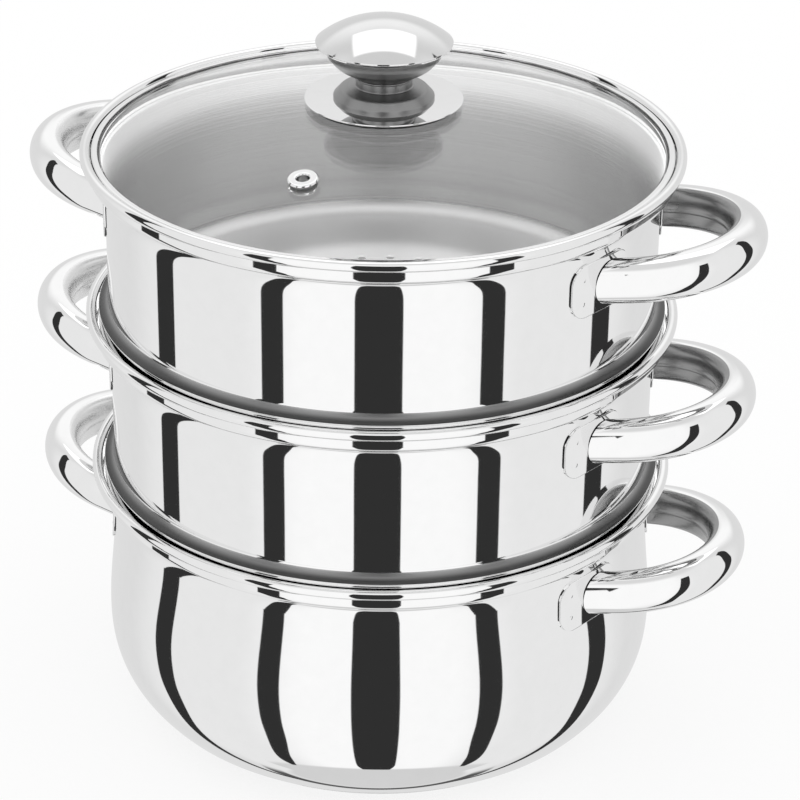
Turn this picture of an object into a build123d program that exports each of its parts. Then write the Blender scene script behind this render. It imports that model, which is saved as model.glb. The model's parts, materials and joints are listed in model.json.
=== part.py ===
from build123d import *
import math
import os

# Three-tier steamer pot. Millimetres, +Z up, origin at the centre of the
# pot's base, +X along the line through the two side handles. Every vessel is
# drawn from its own rim plane downwards and then lifted to its height.

# Common sheet and rim
sheet = 0.7
tier_pitch = 68.4
pot_height = 111.0
wall_radius = 110.5
collar_width = 6.4
collar_outer = wall_radius + collar_width
collar_sheet = 1.2
collar_foot = collar_outer - collar_sheet
collar_round = 1.8
lip_overhang = 2.8
lip_outer = collar_outer + lip_overhang
lip_rise = 0.3
lip_drop = 3.7
lip_bend = 1.95
ledge_depth = 8.6
ledge_sheet = 0.8
edge_round = 0.4
ledge_round = 1.0
cove_depth = 13.2
cove_width = 1.6
cove_bend = 16.5

# Tabs and spot welds
tab_sheet = 0.9
tab_width = 34.0
tab_height = 22.0
tab_round = 8.0
tab_shift = 4.1
weld_radius = 1.5
weld_rise = 0.25
weld_shift = 13.8
weld_spread = 5.0

# Pot wall, belly and floor
neck_step = 0.6
pot_neck_radius = wall_radius + neck_step
pot_shoulder_depth = 31.5
shoulder_bend = 250.0
belly_swell = 3.3
belly_radius = pot_neck_radius + belly_swell
belly_depth = 61.5
belly_bend = 157.0
bottom_drop = 11.0
bottom_start_depth = belly_depth + bottom_drop
base_height = 6.0
floor_depth = pot_height - base_height
bottom_bend_share = 1.3385
bottom_bend = bottom_bend_share * (floor_depth - bottom_start_depth)
floor_bend = 3.0
bottom_slope = 45.0

# Capsule base
cap_inset = 8.1
cap_sheet = 0.8
cap_bend = 1.0

# Steamer floor and seat
floor_lift = 0.4
seat_depth = tier_pitch + ledge_depth
floor_top_depth = seat_depth - floor_lift
inside_bend = 4.8
foot_width = 4.1
foot_radius = wall_radius + foot_width
foot_top_depth = 67.4
foot_sheet = 0.9
foot_inner = foot_radius - foot_sheet
foot_cove = 3.3
foot_round = 0.7
foot_edge = 0.2
hole_radius = 2.0
hole_ring_pitch = 11.6
hole_rings = 5
holes_per_ring_step = 6

# Loop handles
handle_span = 39.1
handle_inset = 4.5
handle_centre = wall_radius - handle_inset
handle_reach = 41.2
handle_depth = 27.5
handle_rise = 5.5
handle_turn = 2.5
tube_half_height_end = 8.5
tube_half_height_mid = 9.0
tube_half_width_end = 7.4
tube_half_width_mid = 7.8
tube_sheet = 0.8
handle_stations = 11
handle_overrun = 12.0

# Lid glass, band and seal
lid_play = 1.1
band_outer = collar_foot - lid_play
band_fold = 1.9
band_inner = band_outer - band_fold
band_foot = 3.7
band_foot_inner = band_outer - band_foot
band_drop = 1.0
band_sheet = 0.8
band_round = 0.5
seal_setback = 0.3
seal_foot_inner = band_foot_inner + seal_setback
glass_sheet = 4.0
glass_rise = 17.5
glass_play = 0.5
glass_radius = band_outer - band_sheet - glass_play
glass_land = 0.9
glass_land_radius = glass_radius - glass_land
glass_land_drop = 1.9
glass_land_rise = 0.4
glass_hole = 5.0

# Vent in the glass
vent_radius = 71.9
vent_turn = -93.2
vent_bore = 2.4
vent_tube = 3.2
vent_hole = 4.0
vent_flange = 6.0
vent_flange_sheet = 1.0
vent_foot = 5.2
vent_foot_sheet = 0.8
vent_washer = 5.4
vent_washer_sheet = 0.6
vent_round = 0.5

# Knob stack, heights from the top rim plane
gasket_radius = 29.0
gasket_top = 17.9
flange_radius = 31.3
flange_sheet = 0.6
bell_radius = 19.9
bell_edge = 1.1
bell_edge_bend = 0.8
bell_shoulder = 17.2
bell_shoulder_height = 22.6
bell_shoulder_bend = 2.0
neck_radius = 11.1
neck_start = 23.5
neck_top = 26.6
neck_sheet = 1.0
neck_bend = 0.6
bead_outer = 12.4
bead_bend = 0.4
bead_top = 28.2
bowl_foot = 12.6
bowl_foot_bend = 1.0
bowl_belly = 19.0
bowl_belly_height = 32.0
bowl_belly_bend = 10.0
bowl_side = 23.4
bowl_side_height = 37.2
bowl_side_bend = 7.0
bowl_top = 39.8
dome_rim = 26.9
dome_rim_height = 41.5
dome_edge = 0.6
dome_under = 25.6
dome_inner = 25.0
dome_top = 51.0
knob_sheet = 0.9
post_radius = 4.5
screw_radius = 2.5
screw_head = 5.6
screw_head_height = 3.0
screw_head_round = 1.2
screw_end = 34.5
washer_radius = 10.0
washer_sheet = 1.2
lower_gasket_radius = 11.0
lower_gasket_drop = 0.9
nut_radius = 5.0
nut_top = 33.5

overrun = 20.0
shortest_edge = 0.001


def corner(previous, here, following):
    """The round stretch at a corner: its two tangent points and its middle."""
    x, z, bend = here
    back = math.atan2(previous[1] - z, previous[0] - x)
    ahead = math.atan2(following[1] - z, following[0] - x)
    half = (ahead - back) / 2
    run = bend / abs(math.tan(half))
    middle = math.atan2(
        math.sin(back) + math.sin(ahead), math.cos(back) + math.cos(ahead)
    )
    reach = bend / abs(math.sin(half)) - bend
    start = (x + run * math.cos(back), z + run * math.sin(back))
    end = (x + run * math.cos(ahead), z + run * math.sin(ahead))
    return start, (x + reach * math.cos(middle), z + reach * math.sin(middle)), end


def outline(corners):
    """Closed face in the XZ plane through corners of (radius, height, rounding)."""
    stops = []
    for index, here in enumerate(corners):
        if here[2]:
            following = corners[(index + 1) % len(corners)]
            stops.append(corner(corners[index - 1], here, following))
        else:
            stops.append((here[:2], None, here[:2]))
    edges = []
    for index, (start, middle, end) in enumerate(stops):
        if middle:
            edges.append(ThreePointArc(on_plane(start), on_plane(middle), on_plane(end)))
        following = stops[(index + 1) % len(stops)][0]
        if math.dist(end, following) > shortest_edge:
            edges.append(Line(on_plane(end), on_plane(following)))
    return Face(Wire(edges))


def on_plane(point):
    """A profile point as a point of the XZ plane."""
    return Vector(point[0], 0, point[1])


def turned(corners):
    """Solid of revolution about Z of a closed profile."""
    return revolve(outline(corners), Axis.Z)


def raised(shape, height):
    """The shape lifted by a height."""
    return Pos(0, 0, height) * shape


def rim(neck, bore):
    """Profile corners of lip, collar and ledge, from the outside wall to the inside wall."""
    collar_base = -ledge_depth - ledge_sheet
    return [
        (neck, -cove_depth, cove_bend),
        (neck + cove_width, collar_base, ledge_round),
        (collar_outer, collar_base, collar_round),
        (collar_outer, -lip_drop, edge_round),
        (lip_outer, -lip_drop, lip_bend),
        (lip_outer, lip_rise, lip_bend),
        (collar_foot, lip_rise, lip_bend),
        (collar_foot, -ledge_depth, edge_round),
        (bore, -ledge_depth, ledge_round),
    ]


def bottom_turn():
    """Depth where the belly's line meets the slanting bottom, and the radius of the flat floor."""
    drop = math.tan(math.radians(bottom_slope / 2)) * bottom_bend
    turn_depth = bottom_start_depth + drop
    slant = (floor_depth - turn_depth) / math.tan(math.radians(bottom_slope))
    return turn_depth, belly_radius - slant


def pot_wall(inset):
    """Corners of the pot wall from its floor up to the neck, set in from the outer face."""
    turn_depth, floor_radius = bottom_turn()
    shift = inset * math.tan(math.radians(bottom_slope / 2))
    return [
        (floor_radius - shift, inset - floor_depth, floor_bend),
        (belly_radius - inset, shift - turn_depth, bottom_bend - inset),
        (belly_radius - inset, -belly_depth, belly_bend - inset),
        (pot_neck_radius - inset, -pot_shoulder_depth, shoulder_bend + inset),
    ]


def pot_body():
    """Pot with rolled lip, seat ledge, slight belly and flat floor."""
    floor = [(0, -floor_depth + sheet, 0), (0, -floor_depth, 0)]
    upper = rim(pot_neck_radius, pot_neck_radius - sheet)
    inside = pot_wall(sheet)[::-1]
    return raised(turned(floor + pot_wall(0) + upper + inside), pot_height)


def cap_radius():
    """Outside radius of the capsule, set in from the edge of the flat floor."""
    return bottom_turn()[1] - cap_inset


def base_core():
    """Aluminium disc pressed between pot floor and capsule."""
    radius = cap_radius() - cap_sheet
    top = -floor_depth
    bottom = -pot_height + cap_sheet
    corners = [(0, bottom, 0), (radius, bottom, cap_bend), (radius, top, 0), (0, top, 0)]
    return raised(turned(corners), pot_height)


def base_cap():
    """Steel capsule around the disc, its edge against the pot floor."""
    outer = cap_radius()
    radius = outer - cap_sheet
    bottom = -pot_height
    corners = [
        (0, bottom, 0),
        (outer, bottom, cap_bend + cap_sheet),
        (outer, -floor_depth, 0),
        (radius, -floor_depth, 0),
        (radius, bottom + cap_sheet, cap_bend),
        (0, bottom + cap_sheet, 0),
    ]
    return raised(turned(corners), pot_height)


def steamer_shell():
    """Steamer with rolled lip, ledge, standing foot and flat floor, before its holes."""
    bore = wall_radius - sheet
    bottom = -floor_top_depth - sheet
    under = -foot_top_depth - foot_sheet
    corners = [
        (0, bottom, 0),
        (wall_radius, bottom, inside_bend + sheet),
        (wall_radius, under, foot_edge),
        (foot_inner, under, foot_edge),
        (foot_inner, -seat_depth, foot_edge),
        (foot_radius, -seat_depth, foot_edge),
        (foot_radius, -foot_top_depth, foot_round),
        (wall_radius, -foot_top_depth, foot_cove),
    ]
    inside = [(bore, -floor_top_depth, inside_bend), (0, -floor_top_depth, 0)]
    return turned(corners + rim(wall_radius, bore) + inside)


def floor_holes():
    """Rings of round steam holes through the steamer floor."""
    depth = floor_top_depth + sheet / 2
    drill = Pos(0, 0, -depth) * Cylinder(hole_radius, overrun)
    drills = [drill]
    for ring in range(1, hole_rings + 1):
        count = ring * holes_per_ring_step
        for step in range(count):
            drills.append(Rot(0, 0, 360 * step / count) * Pos(ring * hole_ring_pitch, 0, 0) * drill)
    return drills


def steamer_body(height):
    """One perforated steamer tier with its rim plane at a height."""
    return raised(steamer_shell() - floor_holes(), height)


def wall_face(profile, shift):
    """Corners of a wall's outer face from the top down, moved outwards by a shift."""
    return [(radius + shift, height, bend) for radius, height, bend in profile]


def wall_skin(profile, inner, outer):
    """Ring lying on the wall between two distances from its outside face."""
    return turned(wall_face(profile, inner) + wall_face(profile, outer)[::-1])


def wall_core(profile):
    """Everything inside the outer face of the tabs."""
    face = wall_face(profile, tab_sheet)
    return turned([(0, face[0][1], 0)] + face + [(0, face[-1][1], 0)])


def handle_point(share):
    """Centre line of the right handle: half an ellipse rising outwards."""
    angle = math.pi * share
    x = handle_centre + handle_reach * math.sin(angle)
    y = -handle_span * math.cos(angle)
    z = -handle_depth + handle_rise * math.sin(angle)
    return Vector(x, y, z)


def handle_heading(share):
    """Direction of the centre line."""
    angle = math.pi * share
    x = handle_reach * math.cos(angle)
    y = handle_span * math.sin(angle)
    z = handle_rise * math.cos(angle)
    return Vector(x, y, z).normalized()


def tube_section(share, thinner):
    """Oval section of the handle tube across its centre line."""
    fullness = math.sin(math.pi * share)
    half_width = tube_half_width_end + (tube_half_width_mid - tube_half_width_end) * fullness
    half_height = tube_half_height_end + (tube_half_height_mid - tube_half_height_end) * fullness
    heading = handle_heading(share)
    across = heading.cross(Vector(0, 0, 1)).normalized()
    plane = Plane(origin=handle_point(share), x_dir=across, z_dir=heading)
    return plane * Ellipse(half_width - thinner, half_height - thinner)


def end_section(share, thinner, run):
    """First or last section moved back into the vessel wall."""
    section = tube_section(share, thinner)
    way = handle_heading(share) * run
    return Pos(way.X, way.Y, way.Z) * section


def tube(thinner):
    """Handle tube through all its sections."""
    sections = [end_section(0, thinner, -handle_overrun)]
    for station in range(handle_stations):
        sections.append(tube_section(station / (handle_stations - 1), thinner))
    sections.append(end_section(1, thinner, handle_overrun))
    return loft(sections)


def handle(profile):
    """Hollow loop handle cut to the outer face of its tabs."""
    return tube(0) - tube(tube_sheet) - wall_core(profile)


def end_turns(shift):
    """Turns about Z of what sits a shift beside the two ends of the right handle."""
    offset = math.degrees(math.asin((handle_span + shift) / wall_radius))
    return [handle_turn + side * offset for side in (-1, 1)]


def with_left(items):
    """The pieces of the right handle and their mirror images on the left."""
    return items + [mirror(item, about=Plane.YZ) for item in items]


def tabs(profile):
    """Rounded weld tabs of both handles."""
    skin = wall_skin(profile, 0, tab_sheet)
    reach = wall_radius + overrun
    plate = extrude(Plane.YZ * RectangleRounded(tab_width, tab_height, tab_round), reach)
    place = Pos(0, 0, -handle_depth)
    return with_left([Rot(0, 0, turn) * place * plate & skin for turn in end_turns(tab_shift)])


def welds(profile):
    """Spot welds on the open part of every tab."""
    skin = wall_skin(profile, tab_sheet, tab_sheet + weld_rise)
    spot = extrude(Plane.YZ * Circle(weld_radius), wall_radius + overrun)
    spots = [
        Rot(0, 0, turn) * Pos(0, 0, -handle_depth + side * weld_spread) * spot & skin
        for turn in end_turns(weld_shift)
        for side in (-1, 1)
    ]
    return with_left(spots)


def glass_centre():
    """Sphere radius of the upper glass face and height of its centre."""
    sagitta = glass_rise + glass_land_drop
    radius = (glass_land_radius ** 2 + sagitta ** 2) / (2 * sagitta)
    return radius, glass_rise - radius


def glass_height(radius, depth):
    """Height of the sphere a depth below the upper glass face at a radius."""
    sphere, centre = glass_centre()
    return centre + math.sqrt((sphere - depth) ** 2 - radius ** 2)


def glass_arc(first, last, depth):
    """Arc on the glass sphere between two radii."""
    radii = (first, (first + last) / 2, last)
    return ThreePointArc(*[on_plane((radius, glass_height(radius, depth))) for radius in radii])


def glass_foot_radius():
    """Radius where the lower glass face reaches the flat land."""
    sphere, centre = glass_centre()
    land = -glass_land_drop - glass_sheet + glass_land_rise
    return math.sqrt((sphere - glass_sheet) ** 2 - (land - centre) ** 2), land


def glass_blank():
    """Domed glass disc with flat ground edge and a centre hole."""
    foot, land = glass_foot_radius()
    upper = glass_arc(glass_hole, glass_land_radius, 0)
    lower = glass_arc(foot, glass_hole, glass_sheet)
    rest = Polyline(
        upper @ 1,
        on_plane((glass_radius, -glass_land_drop)),
        on_plane((glass_radius, land)),
        lower @ 0,
    )
    inner = Line(lower @ 1, upper @ 0)
    return revolve(Face(Wire([upper, *rest.edges(), lower, inner])), Axis.Z)


def vent_place():
    """Place of the vent on the glass, its Z along the glass normal."""
    sphere, centre = glass_centre()
    turn = math.radians(vent_turn)
    x = vent_radius * math.cos(turn)
    y = vent_radius * math.sin(turn)
    z = glass_height(vent_radius, 0)
    return Plane(origin=(x, y, z), z_dir=(x, y, z - centre))


def vent_drill():
    """Round hole for the vent grommet."""
    return vent_place() * Cylinder(vent_hole, overrun)


def vent_eyelet():
    """Steel eyelet with rounded upper flange and rolled lower flange."""
    top = vent_washer_sheet
    low = -glass_sheet - vent_washer_sheet
    corners = [
        (vent_bore, low - vent_foot_sheet, edge_round),
        (vent_foot, low - vent_foot_sheet, edge_round),
        (vent_foot, low, 0),
        (vent_tube, low, 0),
        (vent_tube, top, 0),
        (vent_flange, top, 0),
        (vent_flange, top + vent_flange_sheet, vent_round),
        (vent_bore, top + vent_flange_sheet, vent_round),
    ]
    return vent_place() * turned(corners)


def vent_grommet():
    """Soft grommet between eyelet and glass."""
    corners = [
        (vent_tube, -glass_sheet - vent_washer_sheet, 0),
        (vent_foot, -glass_sheet - vent_washer_sheet, 0),
        (vent_foot, -glass_sheet / 2, 0),
        (vent_washer, -glass_sheet / 2, 0),
        (vent_washer, vent_washer_sheet, 0),
        (vent_tube, vent_washer_sheet, 0),
    ]
    return vent_place() * turned(corners)


def lid_glass():
    """Glass disc with vent hole."""
    return glass_blank() - vent_drill()


def lid_band():
    """Steel band folded over the edge of the glass and under its seal."""
    bore = band_outer - band_sheet
    corners = [
        (band_foot_inner, -ledge_depth, 0),
        (band_outer, -ledge_depth, band_round),
        (band_outer, -band_drop, band_round),
        (band_inner, -band_drop, 0),
        (band_inner, -band_drop - band_sheet, 0),
        (bore, -band_drop - band_sheet, 0),
        (bore, -ledge_depth + band_sheet, 0),
        (band_foot_inner, -ledge_depth + band_sheet, 0),
    ]
    return turned(corners)


def lid_seal():
    """Soft ring under and around the glass edge."""
    bore = band_outer - band_sheet
    foot = -ledge_depth + band_sheet
    land = glass_foot_radius()[1]
    corners = [
        (seal_foot_inner, foot, 0),
        (bore, foot, 0),
        (bore, -band_drop - band_sheet, 0),
        (glass_radius, -band_drop - band_sheet, 0),
        (glass_radius, land, 0),
        (seal_foot_inner, land, 0),
    ]
    return turned(corners)


def knob_gasket():
    """Soft disc between glass and knob flange."""
    arc = glass_arc(post_radius, gasket_radius, 0)
    rest = Polyline(
        arc @ 1,
        on_plane((gasket_radius, gasket_top)),
        on_plane((post_radius, gasket_top)),
        arc @ 0,
    )
    return revolve(Face(Wire([arc, *rest.edges()])), Axis.Z)


def lower_gasket():
    """Soft ring under the glass around the knob screw."""
    arc = glass_arc(screw_radius, lower_gasket_radius, glass_sheet)
    floor = glass_rise - glass_sheet - lower_gasket_drop
    rest = Polyline(
        arc @ 1,
        on_plane((lower_gasket_radius, floor)),
        on_plane((screw_radius, floor)),
        arc @ 0,
    )
    return revolve(Face(Wire([arc, *rest.edges()])), Axis.Z)


def ring(inner, outer, low, top, bend):
    """Flat ring with a rounded outer upper edge."""
    return turned([(inner, low, 0), (outer, low, 0), (outer, top, bend), (inner, top, 0)])


def knob_flange():
    """Thin polished disc lying on the lid."""
    return ring(post_radius, flange_radius, gasket_top, gasket_top + flange_sheet, edge_round)


def knob_stem():
    """Bell and neck of the knob, a turned shell around the post."""
    low = gasket_top + flange_sheet
    bore = neck_radius - neck_sheet
    corners = [
        (bell_radius - neck_sheet, low, 0),
        (bell_radius, low, 0),
        (bell_radius, low + bell_edge, bell_edge_bend),
        (bell_shoulder, bell_shoulder_height, bell_shoulder_bend),
        (neck_radius, neck_start, neck_bend),
        (neck_radius, neck_top, 0),
        (post_radius, neck_top, 0),
        (post_radius, neck_top - neck_sheet, 0),
        (bore, neck_top - neck_sheet, 0),
        (bore, neck_start - neck_sheet, neck_bend),
        (bell_shoulder - neck_sheet, bell_shoulder_height - neck_sheet, 0),
        (bell_radius - neck_sheet, low + bell_edge, 0),
    ]
    return turned(corners)


def knob_bead():
    """Small polished ring between neck and bowl."""
    middle = (neck_top + bead_top) / 2
    corners = [
        (post_radius, neck_top, 0),
        (neck_radius, neck_top, 0),
        (bead_outer, middle, bead_bend),
        (neck_radius, bead_top, 0),
        (post_radius, bead_top, 0),
    ]
    return turned(corners)


def knob_bowl():
    """Round lower shell of the knob under the overhanging cap."""
    corners = [
        (post_radius, bead_top, 0),
        (bowl_foot, bead_top, bowl_foot_bend),
        (bowl_belly, bowl_belly_height, bowl_belly_bend),
        (bowl_side, bowl_side_height, bowl_side_bend),
        (bowl_side, bowl_top, 0),
        (bowl_side - knob_sheet, bowl_top, 0),
        (bowl_side - knob_sheet, bowl_side_height, bowl_side_bend),
        (bowl_belly - knob_sheet / 2, bowl_belly_height + knob_sheet, bowl_belly_bend),
        (bowl_foot, bead_top + knob_sheet, bowl_foot_bend),
        (post_radius, bead_top + knob_sheet, 0),
    ]
    return turned(corners)


def dome_arc(first, last, depth):
    """Arc of the cap dome between two radii."""
    rise = dome_top - dome_rim_height
    radius = (dome_rim ** 2 + rise ** 2) / (2 * rise)
    centre = dome_top - radius
    radii = (first, (first + last) / 2, last)
    return ThreePointArc(
        *[on_plane((r, centre + math.sqrt((radius - depth) ** 2 - r ** 2))) for r in radii]
    )


def knob_cap():
    """Domed top of the knob with an edge turned in over the rim of the bowl."""
    upper = dome_arc(0, dome_rim, 0)
    lower = dome_arc(dome_inner, 0, knob_sheet)
    rest = Polyline(
        upper @ 1,
        on_plane((dome_rim, dome_rim_height - dome_edge)),
        on_plane((dome_under, bowl_top)),
        on_plane((bowl_side - knob_sheet, bowl_top)),
        on_plane((bowl_side - knob_sheet, bowl_top + knob_sheet)),
        on_plane((dome_inner, bowl_top + knob_sheet)),
        lower @ 0,
    )
    inner = Line(lower @ 1, upper @ 0)
    return revolve(Face(Wire([upper, *rest.edges(), lower, inner])), Axis.Z)


def knob_post():
    """Threaded sleeve from the glass to the foot of the bowl."""
    return ring(screw_radius, post_radius, glass_rise - glass_sheet, bead_top + knob_sheet, 0)


def knob_screw():
    """Screw from below through washer, glass and sleeve."""
    under = glass_rise - glass_sheet - lower_gasket_drop - washer_sheet
    corners = [
        (0, under - screw_head_height, 0),
        (screw_head, under - screw_head_height, screw_head_round),
        (screw_head, under, 0),
        (screw_radius, under, 0),
        (screw_radius, screw_end, edge_round),
        (0, screw_end, 0),
    ]
    return turned(corners)


def knob_washer():
    """Steel washer under the lower gasket."""
    top = glass_rise - glass_sheet - lower_gasket_drop
    return ring(screw_radius, washer_radius, top - washer_sheet, top, 0)


def knob_nut():
    """Six-sided nut on the screw inside the bowl."""
    low = bead_top + knob_sheet
    prism = extrude(RegularPolygon(nut_radius, 6), nut_top - low)
    return Pos(0, 0, low) * (prism - Cylinder(screw_radius, overrun))


def save(name, shape):
    """Write one node: a single solid or a group of separate solids."""
    solids = shape if isinstance(shape, list) else [shape]
    found = [solid for item in solids for solid in item.solids()]
    node = found[0] if len(found) == 1 else Compound(children=found)
    node.label = name
    export_step(node, "parts/" + name + ".step")
    box = node.bounding_box()
    print(name, len(found), [round(v, 2) for v in (*box.min, *box.max)], round(node.volume, 1))


def save_handles(prefix, profile, height):
    """Both handles, their tabs and their welds of one vessel."""
    loop = Rot(0, 0, handle_turn) * raised(handle(profile), height)
    save(prefix + "_handle_right", loop)
    save(prefix + "_handle_left", mirror(loop, about=Plane.YZ))
    save(prefix + "_handle_tabs", [raised(item, height) for item in tabs(profile)])
    save(prefix + "_spot_welds", [raised(item, height) for item in welds(profile)])


def main():
    """Write every node of the pot, the two steamers and the lid."""
    os.makedirs("parts", exist_ok=True)
    lower = pot_height + tier_pitch
    upper = lower + tier_pitch
    pot_profile = [
        (pot_neck_radius, -cove_depth, 0),
        (pot_neck_radius, -pot_shoulder_depth, shoulder_bend),
        (belly_radius, -belly_depth, 0),
    ]
    steamer_profile = [(wall_radius, -cove_depth, 0), (wall_radius, -belly_depth, 0)]
    save("pot_body", pot_body())
    save("pot_base_core", base_core())
    save("pot_base_cap", base_cap())
    save_handles("pot", pot_profile, pot_height)
    save("lower_steamer_body", steamer_body(lower))
    save_handles("lower_steamer", steamer_profile, lower)
    save("upper_steamer_body", steamer_body(upper))
    save_handles("upper_steamer", steamer_profile, upper)
    glass = lid_glass()
    lid_parts = {
        "lid_glass": glass,
        "lid_band": lid_band(),
        "lid_seal": lid_seal(),
        "vent_eyelet": vent_eyelet(),
        "vent_grommet": vent_grommet() - glass,
        "knob_gasket": knob_gasket(),
        "knob_lower_gasket": lower_gasket(),
        "knob_flange": knob_flange(),
        "knob_stem": knob_stem(),
        "knob_bead": knob_bead(),
        "knob_bowl": knob_bowl(),
        "knob_cap": knob_cap(),
        "knob_post": knob_post(),
        "knob_screw": knob_screw(),
        "knob_washer": knob_washer(),
        "knob_nut": knob_nut(),
    }
    for name, shape in lid_parts.items():
        save(name, raised(shape, upper))


main()
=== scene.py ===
# %% [markdown]
# # A three-tier steamer pot
# A stockpot, two perforated steamers and a glass lid stand on each other. Nearly
# every surface is polished steel, so the shape is only read through what it
# mirrors. The measured solids come in as a fixed frame. The surfaces that mirror
# are rebuilt here as smooth grids, because a mirror shows every flat facet.

# %% Load the measured model
import json
import math

import bpy
import numpy as np
from mathutils import Matrix, Vector


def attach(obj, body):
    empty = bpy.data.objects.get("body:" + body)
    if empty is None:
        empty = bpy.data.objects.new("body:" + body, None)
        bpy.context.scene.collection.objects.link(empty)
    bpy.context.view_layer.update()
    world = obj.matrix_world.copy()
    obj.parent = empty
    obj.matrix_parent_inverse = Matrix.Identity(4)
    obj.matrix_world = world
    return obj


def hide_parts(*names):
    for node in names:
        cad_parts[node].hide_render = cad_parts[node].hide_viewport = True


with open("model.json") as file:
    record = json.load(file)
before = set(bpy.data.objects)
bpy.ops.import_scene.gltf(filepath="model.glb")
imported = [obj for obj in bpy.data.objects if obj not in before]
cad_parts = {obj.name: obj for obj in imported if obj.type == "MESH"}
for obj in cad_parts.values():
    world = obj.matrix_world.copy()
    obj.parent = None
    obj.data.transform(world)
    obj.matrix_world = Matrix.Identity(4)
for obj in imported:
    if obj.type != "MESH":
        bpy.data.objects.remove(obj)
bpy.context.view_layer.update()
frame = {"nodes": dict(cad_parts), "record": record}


MM = 0.001

# %% [markdown]
# ## The camera
# The viewpoint was solved from the ellipses of the three lips. It stands 27
# degrees above the horizon, about 1.1 m away, with a long lens, so the rims
# narrow only a little from the top tier to the pot. All positions are worked out
# in a frame that faces the camera and then turned with the handles.

# %% Camera
PHOTO = 800
FACING = 21.3
POT_RIM = 111.0
PITCH = 68.4
LOWER_RIM = POT_RIM + PITCH
UPPER_RIM = LOWER_RIM + PITCH
LENS_PIXELS = 2809.77
STAND_BACK = 1035.38
STAND_UP = 413.44
YAW, DIP, ROLL = 0.0075, 0.4719, 0.0124


def camera_axes(yaw, dip, roll):
    """Right, up and forward vectors of a camera that first looks along +Y."""
    sy, cy, sp, cp = math.sin(yaw), math.cos(yaw), math.sin(dip), math.cos(dip)
    ahead = Vector((sy * cp, cy * cp, -sp))
    right = Vector((cy, -sy, 0))
    up = right.cross(ahead)
    cr, sr = math.cos(roll), math.sin(roll)
    return cr * right + sr * up, cr * up - sr * right, ahead


def place_camera():
    """Camera turned round the pot's axis by the angle of the handles."""
    right, up, ahead = camera_axes(YAW, DIP, ROLL)
    place = Matrix.Identity(4)
    for column, vector in enumerate((right, up, -ahead)):
        for row in range(3):
            place[row][column] = vector[row]
    place[1][3] = -STAND_BACK * MM
    place[2][3] = (UPPER_RIM + STAND_UP) * MM
    data = bpy.data.cameras.new("camera")
    data.sensor_width = 36
    data.lens = LENS_PIXELS / PHOTO * data.sensor_width
    data.clip_end = 50
    camera = bpy.data.objects.new("camera", data)
    camera.matrix_world = Matrix.Rotation(math.radians(FACING), 4, "Z") @ place
    bpy.context.scene.collection.objects.link(camera)
    bpy.context.scene.camera = camera
    return camera


camera = place_camera()
print("camera at", [round(v, 3) for v in camera.matrix_world.translation])

# %% [markdown]
# ## Shader maths as plain expressions
# A finish is easier to read as a formula than as a list of nodes. A small class
# wraps a socket, and each operator adds the Math node that it stands for.

# %% Shader sums
class Sum:
    """A number in a shader that can be added, multiplied and compared."""

    def __init__(self, tree, socket):
        self.tree = tree
        self.socket = socket

    def node(self, kind, *values, out=0, **settings):
        """Any node: its settings first, then values or links for its sockets in order."""
        made = self.tree.nodes.new(kind)
        for name, value in settings.items():
            setattr(made, name, value)
        for place, value in enumerate(values):
            if value is None:
                continue
            if isinstance(value, Sum):
                self.tree.links.new(value.socket, made.inputs[place])
            else:
                made.inputs[place].default_value = value
        return Sum(self.tree, made.outputs[out])

    def maths(self, operation, *values):
        return self.node("ShaderNodeMath", *values, operation=operation)

    def __add__(self, other): return self.maths("ADD", self, other)
    def __sub__(self, other): return self.maths("SUBTRACT", self, other)
    def __rsub__(self, other): return self.maths("SUBTRACT", other, self)
    def __mul__(self, other): return self.maths("MULTIPLY", self, other)
    def __truediv__(self, other): return self.maths("DIVIDE", self, other)
    def __gt__(self, other): return self.maths("GREATER_THAN", self, other)
    def __neg__(self): return self.maths("MULTIPLY", self, -1.0)
    def abs(self): return self.maths("ABSOLUTE", self)
    def at_least(self, other): return self.maths("MAXIMUM", self, other)

    def ramp(self, low, high):
        """0 below low, 1 above high, smooth between."""
        return self.node(
            "ShaderNodeMapRange", self, low, high, 0.0, 1.0, interpolation_type="SMOOTHSTEP"
        )

    def parts(self):
        """The three numbers of a vector."""
        split = self.tree.nodes.new("ShaderNodeSeparateXYZ")
        self.tree.links.new(self.socket, split.inputs[0])
        return [Sum(self.tree, output) for output in split.outputs]


def mix_greys(mask, low, high):
    """Grey low where mask is 0 and high where it is 1, each a number or another mix."""
    mix = mask.tree.nodes.new("ShaderNodeMix")
    mix.data_type = "RGBA"
    mask.tree.links.new(mask.socket, mix.inputs["Factor"])
    for name, value in (("A", low), ("B", high)):
        socket = [s for s in mix.inputs if s.name == name and s.type == "RGBA"][0]
        if isinstance(value, Sum):
            mask.tree.links.new(value.socket, socket)
        else:
            socket.default_value = (value, value, value, 1)
    found = [s for s in mix.outputs if s.type == "RGBA"][0]
    return Sum(mask.tree, found)


print("shader sums ready")

# %% [markdown]
# ## The studio
# Polished steel shows its surroundings, so the surroundings are part of the
# picture: a white tent with upright black flags, the usual way to give bright
# metal an edge. The flags stand in front, at 46 degrees to both sides and behind
# the widest point. A window overhead shows on the knob. Right behind, a white
# strip lights what lies level, and a thin dark line low down draws the pot's
# bottom edge. Only mirrored rays see all this. The camera sees plain white, and
# the floor is lit evenly.

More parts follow.
